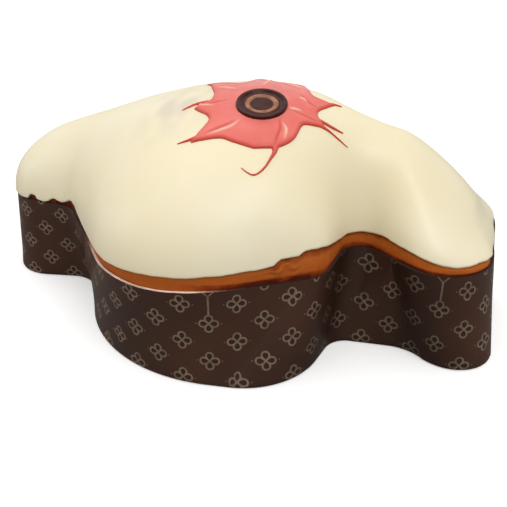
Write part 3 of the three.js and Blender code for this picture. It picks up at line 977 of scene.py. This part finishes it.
# %% Icing material
white_chocolate, shader = new_material("white_chocolate")
where = add(white_chocolate, "TexCoord", output="Object")
broad = add(white_chocolate, "TexNoise", {"Vector": where, "Scale": scale_of(71.43), "Detail": 3.0})
cream_tones = [(0.3, "ECDFB9"), (0.55, "EFE3C3"), (0.75, "F2E8CE")]
cream = add(white_chocolate, "ValToRGB", {"Fac": broad}, stops=cream_tones)
thin = add(white_chocolate, "Attribute", output="Fac", attribute_name="wiped")
cream = add(white_chocolate, "Mix", {0: thin, 6: cream, 7: colour("D8CDB8")}, 2, data_type="RGBA")
# the surface's low waves
fine = add(white_chocolate, "TexNoise", {"Vector": where, "Scale": scale_of(6.25), "Detail": 2.0})
bump = add(white_chocolate, "Bump", {"Height": fine, "Strength": 0.05, "Distance": 1.0 * MM})
feed(white_chocolate, shader, {
    "Base Color": cream,
    "Normal": bump,
    "Roughness": 0.38,
    "Specular IOR Level": 0.4,
    "Subsurface Weight": 0.12,
    "Subsurface Radius": (0.004, 0.003, 0.002),
    "Subsurface Scale": 1.0,
})
icing.data.materials.append(white_chocolate)
print("icing is", white_chocolate.name)

# %% [markdown]
# ## Browned crust, the material
#
# The crust is sugar and egg browned in the oven. It is darkest at the rim, where the paper was hottest,
# deep orange brown above it, and lighter where the dough swelled last. Round the head it is painted
# darker, as shade. Its skin is matt, with wrinkles drawn a little coarser than real ones, so that they
# show.

# %% Crust material
browned_crust, shader = new_material("browned_crust")
where = add(browned_crust, "TexCoord", output="Object")
# how baked the crust is, painted darker round the head as shade
browning_and_shade = add(browned_crust, "Attribute", output="Fac", attribute_name="baked_and_shaded")
# mottling and patches: their size in mm, their detail, and by how much they shift the browning
for size, detail, shift in ((8.333, 5.0, 0.16), (45.45, 2.0, 0.2)):
    spots = add(browned_crust, "TexNoise", {"Vector": where, "Scale": scale_of(size), "Detail": detail})
    spots = add(browned_crust, "MapRange", {0: spots, 3: -shift, 4: shift})
    browning_and_shade = add(browned_crust, "Math", (browning_and_shade, spots), operation="ADD")
crust_tones = [(0.0, "521A08"), (0.09, "8E3A0E"), (0.22, "B0581C"), (0.72, "B66022"), (0.96, "86360F")]
brown = add(browned_crust, "ValToRGB", {"Fac": browning_and_shade}, stops=crust_tones)
wrinkles = add(browned_crust, "TexNoise", {"Vector": where, "Scale": scale_of(2.381), "Detail": 4.0})
bump = add(browned_crust, "Bump", {"Height": wrinkles, "Strength": 0.5, "Distance": 0.6 * MM})
feed(browned_crust, shader, {"Base Color": brown, "Normal": bump})
feed(browned_crust, shader, {"Roughness": 0.6, "Specular IOR Level": 0.12})
cake.data.materials.append(browned_crust)
print("cake is", browned_crust.name)

# %% [markdown]
# ## Printed baking paper, the material
#
# The paper is dark brown and lightly waxed, so it greys at a glancing angle. On it, in thin pale ink,
# outlined four-leaf clovers stand in a staggered lattice, each between two dots, and every fifth clover
# of one row hangs from the rim by its stem. All of it is drawn in millimetres on the unrolled strip. One
# quarter of a clover is enough, because folding the plane over both diagonals and axes gives the rest:
# a leaf is a circle joined to the middle by two straight sides.

# %% Fold the strip onto a quarter of a clover
FIRST_CLOVER = (185.0, 47.0)
half = (LATTICE[0] / 2, LATTICE[1] / 2, 1)
minus_half = tuple(-value for value in half)

paper, shader = new_material("waxed_baking_paper")
strip_uv = add(paper, "UVMap", uv_map=paper_case.data.uv_layers.active.name)
to_mm = add(paper, "VectorMath", (strip_uv, (STRIP, CASE_HEIGHT, 0)), operation="MULTIPLY")
local = add(paper, "VectorMath", (to_mm, (*FIRST_CLOVER, 0)), operation="SUBTRACT")
local = add(paper, "VectorMath", (local, half, minus_half), operation="WRAP")
folded = add(paper, "VectorMath", (local,), operation="ABSOLUTE")
other = add(paper, "VectorMath", (folded, (*half[:2], 0)), operation="SUBTRACT")
other = add(paper, "VectorMath", (other,), operation="ABSOLUTE")
# a place nearer to the clover in the lattice's middle than to the one at its corner is folded onto that
across_cell = (1 / half[0], 1 / half[1], 0)
diamond = add(paper, "VectorMath", (folded, across_cell), "Value", operation="DOT_PRODUCT")
is_other = add(paper, "Math", (diamond, 1.0), operation="GREATER_THAN")
quarter = add(paper, "Mix", {0: is_other, 4: folded, 5: other}, 1, data_type="VECTOR")
sides = add(paper, "SeparateXYZ", (quarter,)).node.outputs
along_leaf = add(paper, "Math", (sides[0], sides[1]), operation="MAXIMUM")
across_leaf = add(paper, "Math", (sides[0], sides[1]), operation="MINIMUM")
print("clovers", LATTICE, "mm apart")

# %% Leaves and dots
LEAF_CENTRE, LEAF_RADIUS = 2.95, 1.85
INK_WIDTH, INK_SOFT = 0.46, 0.35  # half of the line, and what part of that is its soft edge
DOT_AT, DOT_RADIUS, DOT_SOFT = 6.5, 0.32, 0.3

leaf_place = add(paper, "CombineXYZ", (along_leaf, across_leaf))
round_end = add(paper, "VectorMath", (leaf_place, (LEAF_CENTRE, 0, 0)), "Value", operation="DISTANCE")
round_end = add(paper, "Math", (round_end, LEAF_RADIUS), operation="SUBTRACT")
straight = add(paper, "Math", (across_leaf, along_leaf), operation="SUBTRACT")
straight = add(paper, "Math", (straight, math.sqrt(0.5)), operation="MULTIPLY")
past_joint = add(paper, "Math", (along_leaf, across_leaf), operation="ADD")
past_joint = add(paper, "Math", (past_joint, LEAF_CENTRE), operation="GREATER_THAN")
leaf = add(paper, "Mix", {0: past_joint, 2: straight, 3: round_end}, data_type="FLOAT")
line = add(paper, "Math", (leaf,), operation="ABSOLUTE")
line = add(paper, "MapRange", (line, INK_WIDTH * (1 + INK_SOFT), INK_WIDTH * (1 - INK_SOFT)))
inside = add(paper, "MapRange", (leaf, -INK_WIDTH * 0.5, -INK_WIDTH * 1.5))
dot = add(paper, "VectorMath", (quarter, (DOT_AT, 0, 0)), "Value", operation="DISTANCE")
dot = add(paper, "MapRange", (dot, DOT_RADIUS * (1 + DOT_SOFT), DOT_RADIUS * (1 - DOT_SOFT)))
ink = add(paper, "Math", (line, dot), operation="MAXIMUM")
print("leaves", 2 * LEAF_RADIUS, "mm wide")

# %% Stems, each forking towards the rim
STEM_EVERY, STEM_AT, STEM_FROM, FORK_RISE = 5 * LATTICE[0], 227.5, 40.9, 11.0
STEM_OUTSIDE, STEM_INSIDE = 0.62, 0.34  # half of the line, where its soft edge ends and starts
STEM_CLEAR = 6.0  # nothing else is drawn this near to a stem
highest = (STEM_EVERY / 2, 60, 1)  # higher than the wall, so that stems repeat only along the strip
lowest = tuple(-value for value in highest)

stem_place = add(paper, "VectorMath", (to_mm, (STEM_AT, STEM_FROM, 0)), operation="SUBTRACT")
stem_place = add(paper, "VectorMath", (stem_place, highest, lowest), operation="WRAP")
sides = add(paper, "SeparateXYZ", (stem_place,)).node.outputs
beside = add(paper, "Math", (sides[0],), operation="ABSOLUTE")
spread = add(paper, "Math", (sides[1], FORK_RISE), operation="SUBTRACT")
spread = add(paper, "Math", (spread, 0.0), operation="MAXIMUM")
stem = add(paper, "Math", (beside, spread), operation="SUBTRACT")
stem = add(paper, "Math", (stem,), operation="ABSOLUTE")
stem = add(paper, "MapRange", (stem, STEM_OUTSIDE, STEM_INSIDE))
over_clover = add(paper, "Math", (sides[1], 0.0), operation="GREATER_THAN")
stem = add(paper, "Math", (stem, over_clover), operation="MULTIPLY")
cleared = add(paper, "Math", (beside, STEM_CLEAR), operation="LESS_THAN")
cleared = add(paper, "Math", (cleared, over_clover), operation="MULTIPLY")
drawn = add(paper, "Math", (1.0, cleared), operation="SUBTRACT")
inside = add(paper, "Math", (inside, drawn), operation="MULTIPLY")
ink = add(paper, "Math", (ink, drawn), operation="MULTIPLY")
ink = add(paper, "Math", (ink, stem), operation="MAXIMUM")
print("stems", round(STEM_EVERY, 1), "mm apart")

# %% Paper, with fibres coarser than real ones, so that they show
where = add(paper, "TexCoord", output="Object")
fibres = add(paper, "TexNoise", {"Vector": where, "Scale": scale_of(3.846), "Detail": 4.0})
cloudy = add(paper, "TexNoise", {"Vector": where, "Scale": scale_of(55.56), "Detail": 2.0})
worn = add(paper, "MapRange", (fibres, 0.3, 0.7, 0.5, 1.0))
ink = add(paper, "Math", (ink, worn), operation="MULTIPLY")
painted_notch_shade = add(paper, "Attribute", output="Fac", attribute_name="shaded")
tone = add(paper, "ValToRGB", {"Fac": cloudy}, stops=[(0.3, "38251C"), (0.7, "482E22")])
# the leaves' insides, the ink, and the notch's painted shade, near black, laid over the paper's tone
for amount, tint in ((inside, "33231B"), (ink, "887260"), (painted_notch_shade, "0F0906")):
    tone = add(paper, "Mix", {0: amount, 6: tone, 7: colour(tint)}, 2, data_type="RGBA")
bump = add(paper, "Bump", {"Height": fibres, "Strength": 0.08, "Distance": 0.4 * MM})
feed(paper, shader, {"Base Color": tone, "Normal": bump, "Roughness": 0.42, "Specular IOR Level": 0.18})
print("printed side is", paper.name)

# %% Plain inside
plain_paper, shader = new_material("brown_paper_inside")
where = add(plain_paper, "TexCoord", output="Object")
fibres = add(plain_paper, "TexNoise", {"Vector": where, "Scale": scale_of(3.333), "Detail": 4.0})
brown = add(plain_paper, "ValToRGB", {"Fac": fibres}, stops=[(0.3, "2E1E17"), (0.7, "3E2A20")])
feed(plain_paper, shader, {"Base Color": brown, "Roughness": 0.7})
print("inside is", plain_paper.name)

# %% Cut edge, darker everywhere but round the wings' outer ends, with random stains
PALE_STRETCH_AT = 258  # the middle of the pale stretch, from the tail's end, in mm
PALE_REACH, DARKENED_REACH = 40, 68  # how far the pale stretch reaches, and where all is darkened

cut_edge, shader = new_material("cut_paper_edge")
where = add(cut_edge, "TexCoord", output="Object")
stains = add(cut_edge, "TexNoise", {"Vector": where, "Scale": scale_of(18.18), "Detail": 2.0})
# nibs of torn fibre, coarser than real ones
nibs = add(cut_edge, "TexNoise", {"Vector": where, "Scale": scale_of(2.632), "Detail": 2.0})
stains_and_darkening = add(cut_edge, "Math", (nibs, 0.3, stains), operation="MULTIPLY_ADD")
strip_uv = add(cut_edge, "UVMap", uv_map=paper_case.data.uv_layers.active.name)
away = add(cut_edge, "SeparateXYZ", (strip_uv,))
for place in (PRINT_ROUND / 2, PALE_STRETCH_AT):  # away from the tail's end, and then from the pale middle
    away = add(cut_edge, "Math", (away, place / STRIP), operation="SUBTRACT")
    away = add(cut_edge, "Math", (away,), operation="ABSOLUTE")
reach_of_darkening = {0: away, 1: PALE_REACH / STRIP, 2: DARKENED_REACH / STRIP, 3: -0.05, 4: 0.8}
darkened = add(cut_edge, "MapRange", reach_of_darkening)
stains_and_darkening = add(cut_edge, "Math", (stains_and_darkening, darkened), operation="SUBTRACT")
edge_tones = [(0.0, "2E140C"), (0.2, "5A2C1C"), (0.5, "D0A88E"), (0.75, "F6E0CE")]
tone = add(cut_edge, "ValToRGB", {"Fac": stains_and_darkening}, stops=edge_tones)
feed(cut_edge, shader, {"Base Color": tone, "Roughness": 0.8})
for slot, material in ((PRINTED, paper), (PLAIN, plain_paper), (CUT_EDGE, cut_edge)):
    paper_case.data.materials[slot] = material
print("cut edge is", cut_edge.name)

# %% [markdown]
# ## Coral glaze and dark chocolate, the materials
#
# The glaze is fruit and sugar, poured and set: bright and glossy, deeper red where its edge is rounded,
# painted darker in its folds as shade, and paler along its ridges as a painted highlight. Dark chocolate
# comes out of its mould glossy, and its raised ring is dusted with bronze.

# %% Glaze material
fruit_glaze, shader = new_material("coral_fruit_glaze")
where = add(fruit_glaze, "TexCoord", output="Object")
swirl = add(fruit_glaze, "TexNoise", {"Vector": where, "Scale": scale_of(14.29), "Detail": 2.0})
coral = add(fruit_glaze, "ValToRGB", {"Fac": swirl}, stops=[(0.3, "DF685E"), (0.7, "E87A6F")])
# deeper red at the edges, painted shade in the folds, and a painted highlight along the ridges
for name, strength, tint in (("edge", 1.0, "C83C24"), ("ridge", 0.9, "FBC9AE")):
    amount = add(fruit_glaze, "Attribute", output="Fac", attribute_name=name)
    amount = add(fruit_glaze, "Math", (amount, strength), operation="MULTIPLY")
    coral = add(fruit_glaze, "Mix", {0: amount, 6: coral, 7: colour(tint)}, 2, data_type="RGBA")
feed(fruit_glaze, shader, {
    "Base Color": coral,
    "Roughness": 0.24,
    "Specular IOR Level": 0.3,
    "Subsurface Weight": 0.05,
    "Subsurface Radius": (0.003, 0.001, 0.001),
    "Subsurface Scale": 1.0,
})
glaze.data.materials.append(fruit_glaze)
print("glaze is", fruit_glaze.name)

# %% Chocolate material
chocolate, shader = new_material("moulded_dark_chocolate")
where = add(chocolate, "TexCoord", output="Object")
# the grain of the surface and of the dust, coarser than the real one
bloom = add(chocolate, "TexNoise", {"Vector": where, "Scale": scale_of(4.167), "Detail": 4.0})
cocoa = add(chocolate, "ValToRGB", {"Fac": bloom}, stops=[(0.3, "32120B"), (0.7, "48201A")])
dust = add(chocolate, "Attribute", output="Fac", attribute_name="dusted")
specks = add(chocolate, "MapRange", (bloom, 0.3, 0.6, 0.35, 0.9))
dust = add(chocolate, "Math", (dust, specks), operation="MULTIPLY")
cocoa = add(chocolate, "Mix", {0: dust, 6: cocoa, 7: colour("B4795A")}, 2, data_type="RGBA")
feed(chocolate, shader, {"Base Color": cocoa, "Roughness": 0.16, "Specular IOR Level": 0.16})
disc.data.materials.append(chocolate)
print("disc is", chocolate.name)

# %% Which solid each piece stands for
PIECES = [
    (paper_case, "paper_case", "printed_paper"),
    (cake, "cake", "browned_crust"),
    (icing, "icing", "white_icing"),
    (disc, "chocolate_disc", "dark_chocolate"),
    (glaze, None, "coral_glaze"),
]
for piece, node, slot in PIECES:
    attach(piece, "root")
    if node:
        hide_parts(node)
    print(piece.name, "stands for", node or "a glaze the solid model leaves out")
